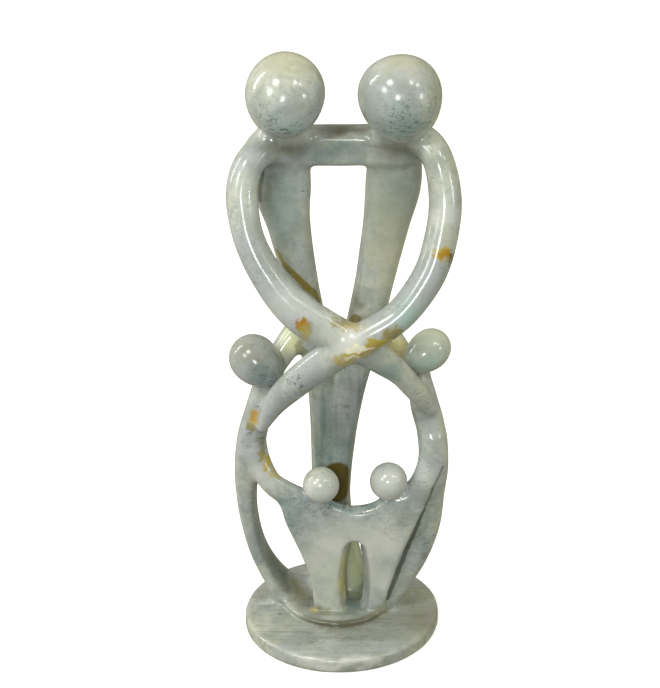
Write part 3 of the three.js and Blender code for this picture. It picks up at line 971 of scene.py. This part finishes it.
class Paint(Nodes):
    """A material, painted in patterns on the stone's own coordinates."""

    def __init__(self, name):
        self.material = bpy.data.materials.new(name)
        self.material.use_nodes = True
        super().__init__(self.material.node_tree)
        self.shader = self.tree.nodes["Principled BSDF"]
        self.place = self.add("TexCoord").outputs["Object"]

    def noise(self, size, detail, squeeze=(1, 1, 1), distortion=0, shift=(0, 0, 0)):
        """Cloudy noise from 0 to 1, with clouds of about that size in millimetres."""
        place = self.vector("MULTIPLY", self.vector("ADD", self.place, shift), squeeze)
        inputs = {"Vector": place, "Scale": 1 / (size * METRE), "Detail": detail, "Distortion": distortion}
        return self.add("TexNoise", inputs).outputs["Fac"]

    def between(self, value, low, high, first=0.0, last=1.0):
        """A smooth step from first to last as value goes from low to high."""
        inputs = {"Value": value, "From Min": low, "From Max": high, "To Min": first, "To Max": last}
        return self.add("MapRange", inputs, interpolation_type="SMOOTHSTEP").outputs[0]

    def pattern(self, name):
        """A cloudy pattern of the table, 0 away from its clouds and 1 in them."""
        settings = dict(PATTERNS[name])
        levels = settings.pop("levels")
        ends = settings.pop("ends", (0, 1))
        return self.between(self.noise(**settings), *levels, *ends)

    def crackle(self):
        """Thin wandering lines, 1 on the line and 0 away from it."""
        gap = self.number("ABSOLUTE", self.number("SUBTRACT", self.noise(**CRACKLE), 0.5))
        return self.between(gap, CRACKLE_BAND, 0)

    def patch(self, place, middle, reach, solid=0.0):
        """1 in the middle of an oval region, falling to 0 at its edge."""
        away = self.vector("SUBTRACT", place, [m * METRE for m in middle])
        share = self.vector("DIVIDE", away, [r * METRE for r in reach])
        return self.between(self.length(share), 1, solid)

    def stroke(self, place, start, end, half_width):
        """1 along the middle of a thick straight stroke, falling to 0 at its edge."""
        start = np.array(start) * METRE
        run = np.array(end) * METRE - start
        away = self.vector("SUBTRACT", place, start.tolist())
        share = self.number("MAXIMUM", self.along(away, (run / (run @ run)).tolist()))
        nearest = self.scaled(run.tolist(), self.number("MINIMUM", share, 1.0))
        gap = self.length(self.vector("SUBTRACT", away, nearest))
        return self.between(gap, half_width * METRE, SOLID["stroke"] * half_width * METRE)

    def mixed(self, a, b, share):
        node = self.add("Mix", data_type="RGBA", blend_type="MIX")
        self.feed(node.inputs["Factor"], share)
        self.feed(node.inputs[6], a)
        self.feed(node.inputs[7], b)
        return node.outputs[2]

    def over(self, tone, name, share, strength=1.0):
        """The named tone laid over a tone, as strongly as the share times the strength."""
        return self.mixed(tone, screen(name), self.times(share, strength))

    def patterned(self, tone, name, pattern, where=1.0):
        """The named tone laid over a tone in a pattern, at the pattern's own strength."""
        return self.over(tone, name, self.times(self.pattern(pattern), where), STRENGTHS[pattern])

    def shaken(self, size, reach):
        """The stone's coordinates, moved about by that many millimetres, so that edges break up."""
        inputs = {"Vector": self.place, "Scale": 1 / (size * METRE), "Detail": SHAKE_DETAIL}
        wander = self.add("TexNoise", inputs).outputs["Color"]
        centred = self.vector("SUBTRACT", wander, (0.5, 0.5, 0.5))
        return self.vector("ADD", self.place, self.vector("MULTIPLY", centred, [2 * reach * METRE] * 3))


def clouded(paint):
    """The stone's own clouds: pale to lavender, with grey mottling."""
    tone = paint.mixed(screen("pale"), screen("lavender"), paint.pattern("clouds"))
    tone = paint.patterned(tone, "grey", "mottle")
    return paint.patterned(tone, "grey", "grain")


def tinted(paint, tone):
    """Broad tints in their places, with cloudy edges; some are painted shade, painted light or a painted
    highlight.
    """
    place = paint.shaken(*SHAKEN["tints"])
    for name, middle, reach, strength in TINTS:
        tone = paint.over(tone, name, paint.patch(place, middle, reach), strength)
    return tone


def streaked(paint, tone):
    """The grain of the block: level streaks across the foot disc, and upright ones down the bodies."""
    disc = paint.patch(paint.place, *DISC_REGION, SOLID["disc"])
    bodies = paint.patch(paint.place, *BODIES_REGION, SOLID["bodies"])
    tone = paint.patterned(tone, "olive", "level_streaks", disc)
    tone = paint.patterned(tone, "shadow", "fine_streaks", disc)
    return paint.patterned(tone, "teal", "upright_streaks", bodies)


def footed(paint, tone):
    """Painted shade on the low pad's side: a dark ring on the disc."""
    away = paint.vector("SUBTRACT", paint.place, (PAD["x"] * METRE, PAD["y"] * METRE, 0))
    level = (1 / (PAD["radius_x"] * METRE), 1 / (PAD["radius_y"] * METRE), 0)
    ring = paint.length(paint.vector("MULTIPLY", away, level))
    side = paint.times(paint.between(ring, *PAD_SIDE_SHADE["comes"]), paint.between(ring, *PAD_SIDE_SHADE["goes"]))
    front = paint.patch(paint.place, *PAD_SIDE_SHADE["region"], SOLID["pad"])
    return paint.over(tone, "umber", paint.times(side, front), PAD_SIDE_SHADE["strength"])


def flecked(paint, tone):
    """Dark grains and level dashes in clusters, away from where the stone is clear."""
    clusters = paint.pattern("clusters")
    for middle, reach in CLEAR:
        clear = paint.patch(paint.place, middle, reach, SOLID["clear"])
        clusters = paint.times(clusters, paint.between(clear, 0, 1, 1, 0))
    tone = paint.patterned(tone, "fleck", "grains", clusters)
    return paint.patterned(tone, "fleck", "dashes", clusters)


def crackled(paint, tone):
    """Fine broken crackle, and specks, in their places."""
    here = 0.0
    for middle, reach, strength in CRACKLED:
        here = paint.number("MAXIMUM", here, paint.times(paint.patch(paint.place, middle, reach), strength))
    lines = paint.times(paint.crackle(), paint.pattern("breaks"))
    tone = paint.over(tone, "fleck", paint.times(lines, here))
    return paint.patterned(tone, "fleck", "specks", here)


def stained(paint, tone):
    """Iron stains with broken edges, yellow to rust, one olive mark of painted shade, and the painted
    shadows drawn as strokes.
    """
    place = paint.shaken(*SHAKEN["stains"])
    flakes = paint.pattern("flakes")
    for name, middle, reach, strength in STAINS:
        stain = paint.times(paint.patch(place, middle, reach, SOLID["stain"]), flakes)
        tone = paint.over(tone, name, stain, strength)
    # The painted shadows and painted crease shade, drawn as strokes.
    place = paint.shaken(*SHAKEN["strokes"])
    for name, start, end, half_width, strength in SHADOW_STROKES:
        tone = paint.over(tone, name, paint.stroke(place, start, end, half_width), strength)
    return tone


def polished(paint):
    """The polish: nearly even, and duller on the disc, on the slab's front and at the back."""
    roughness = paint.pattern("polish")
    for middle, reach, dulling in DULLER:
        here = paint.patch(paint.place, middle, reach, SOLID["duller"])
        roughness = paint.number("ADD", roughness, paint.times(here, dulling))
    paint.feed(paint.shader.inputs["Roughness"], roughness)
    paint.shader.inputs["IOR"].default_value = MIRROR_INDEX
    inputs = {"Height": paint.noise(**BUMPS), "Strength": BUMP_STRENGTH, "Distance": BUMP_HEIGHT * METRE}
    paint.feed(paint.shader.inputs["Normal"], paint.add("Bump", inputs).outputs["Normal"])


def soapstone():
    """Polished soapstone: clouds, tints and painted shade in their places, streaks, painted shade on the
    pad's side, flecks, crackle, stains and painted shadows.
    """
    paint = Paint("polished_soapstone")
    tone = clouded(paint)
    for layer in (tinted, streaked, footed, flecked, crackled, stained):
        tone = layer(paint, tone)
    paint.feed(paint.shader.inputs["Base Color"], tone)
    polished(paint)
    return paint.material


def placed(name, data):
    """A new object in the scene."""
    thing = bpy.data.objects.new(name, data)
    bpy.context.scene.collection.objects.link(thing)
    return thing


def carving():
    """The whole sculpture: one stone, one skin."""
    piece = placed("carved_soapstone_family", stone_mesh())
    piece.data.materials.append(soapstone())
    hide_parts("soapstone_family")
    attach(piece, "root")


# The camera stands in front, above the sculpture, and looks down at it. Millimetres and degrees, and
# its view ends so many metres away.
CAMERA = {"y": -1360, "z": 866.3, "pitch": 25.742, "left": 0.343, "lens": 122.0, "sensor": 36, "ends": 50}
# The floor's side in metres, and its white.
FLOOR = {"side": 12, "tone": 0.95, "roughness": 0.9, "glow": 0.5}


def camera():
    data = bpy.data.cameras.new("camera")
    data.lens = CAMERA["lens"]
    data.sensor_width = CAMERA["sensor"]
    data.clip_end = CAMERA["ends"]
    eye = placed("camera", data)
    eye.location = (0, CAMERA["y"] * METRE, CAMERA["z"] * METRE)
    eye.rotation_euler = (math.radians(90 - CAMERA["pitch"]), 0, math.radians(CAMERA["left"]))
    bpy.context.scene.camera = eye


def white():
    """The floor's plain white, with a glow of its own."""
    paint = bpy.data.materials.new("white_floor")
    paint.use_nodes = True
    inputs = paint.node_tree.nodes["Principled BSDF"].inputs
    inputs["Base Color"].default_value = (FLOOR["tone"], FLOOR["tone"], FLOOR["tone"], 1)
    inputs["Roughness"].default_value = FLOOR["roughness"]
    inputs["Emission Color"].default_value = (1, 1, 1, 1)
    inputs["Emission Strength"].default_value = FLOOR["glow"]
    return paint


def floor():
    """A white floor, which lights nothing and isn't mirrored in the stone."""
    mesh = bpy.data.meshes.new("floor")
    half = FLOOR["side"] / 2
    corners = [(-half, -half, 0), (half, -half, 0), (half, half, 0), (-half, half, 0)]
    mesh.from_pydata(corners, [], [(0, 1, 2, 3)])
    mesh.materials.append(white())
    sheet = placed("floor", mesh)
    sheet.visible_diffuse = False
    sheet.visible_glossy = False


# Lamps about the sculpture: name, degrees to the right of the front and up, metres away, metres
# across and tall, watts, and colour. All aim at one place, in millimetres.
LAMP_AIM = (0, -15, 300)
LAMPS = [
    ("window_high", -40, 50, 1.6, (0.38, 0.38), 7, (1, 0.96, 0.88)),
    ("window_low", -50, 28, 1.6, (0.42, 0.42), 5, (0.9, 0.96, 1)),
    ("far_window", -104, 25, 1.6, (0.12, 1.3), 7, (1, 1, 0.94)),
    ("lamp_high", 45, 48, 1.6, (0.24, 0.24), 2.6, (0.96, 1, 1)),
    ("lamp_side", 62, 37, 1.6, (0.18, 0.18), 1.4, (1, 0.98, 0.8)),
    ("lamp_low", 62, 12, 1.6, (0.22, 0.22), 2, (0.9, 0.96, 1)),
    ("front", -6, 17, 1.5, (0.18, 0.18), 5.2, (0.92, 1, 1)),
]
# Soft light from each side of the room: the way to that side, and its colour there.
ROOM = {
    "above": ((0, 0, 1), (0.42, 0.4, 0.31)),
    "below": ((0, 0, -1), (0.06, 0.06, 0.05)),
    "front": ((0, -1, 0), (0.1, 0.1, 0.1)),
    "back": ((0, 1, 0), (0.16, 0.16, 0.15)),
    "left": ((-1, 0, 0), (0.72, 0.7, 0.55)),
    "right": ((1, 0, 0), (0.44, 0.43, 0.27)),
}


def lamp(name, right, up, away, size, watts, colour):
    """An oval lamp that faces the place they all aim at."""
    data = bpy.data.lights.new(name, "AREA")
    data.shape = "ELLIPSE"
    data.size, data.size_y = size
    data.energy = watts
    data.color = colour
    light = placed(name, data)
    turn, rise = math.radians(right), math.radians(up)
    aim = Vector(LAMP_AIM) * METRE
    out = Vector((math.sin(turn) * math.cos(rise), -math.cos(turn) * math.cos(rise), math.sin(rise)))
    light.location = aim + out * away
    light.rotation_euler = out.to_track_quat("Z", "Y").to_euler()


def room():
    """Soft light all round: each side's light fades to nothing a quarter turn away from it."""
    world = bpy.data.worlds.new("studio")
    world.use_nodes = True
    nodes = Nodes(world.node_tree)
    direction = nodes.add("TexCoord").outputs["Generated"]
    light = (0, 0, 0)
    for side, colour in ROOM.values():
        share = nodes.number("MAXIMUM", nodes.along(direction, side))
        light = nodes.vector("ADD", light, nodes.scaled(colour, share))
    nodes.feed(nodes.tree.nodes["Background"].inputs["Color"], light)
    bpy.context.scene.world = world


def studio():
    """The room's light and the lamps, in plain screen colours."""
    bpy.context.scene.view_settings.view_transform = "Standard"
    room()
    for row in LAMPS:
        lamp(*row)


camera()
floor()
studio()
carving()

bpy.context.view_layer.update()
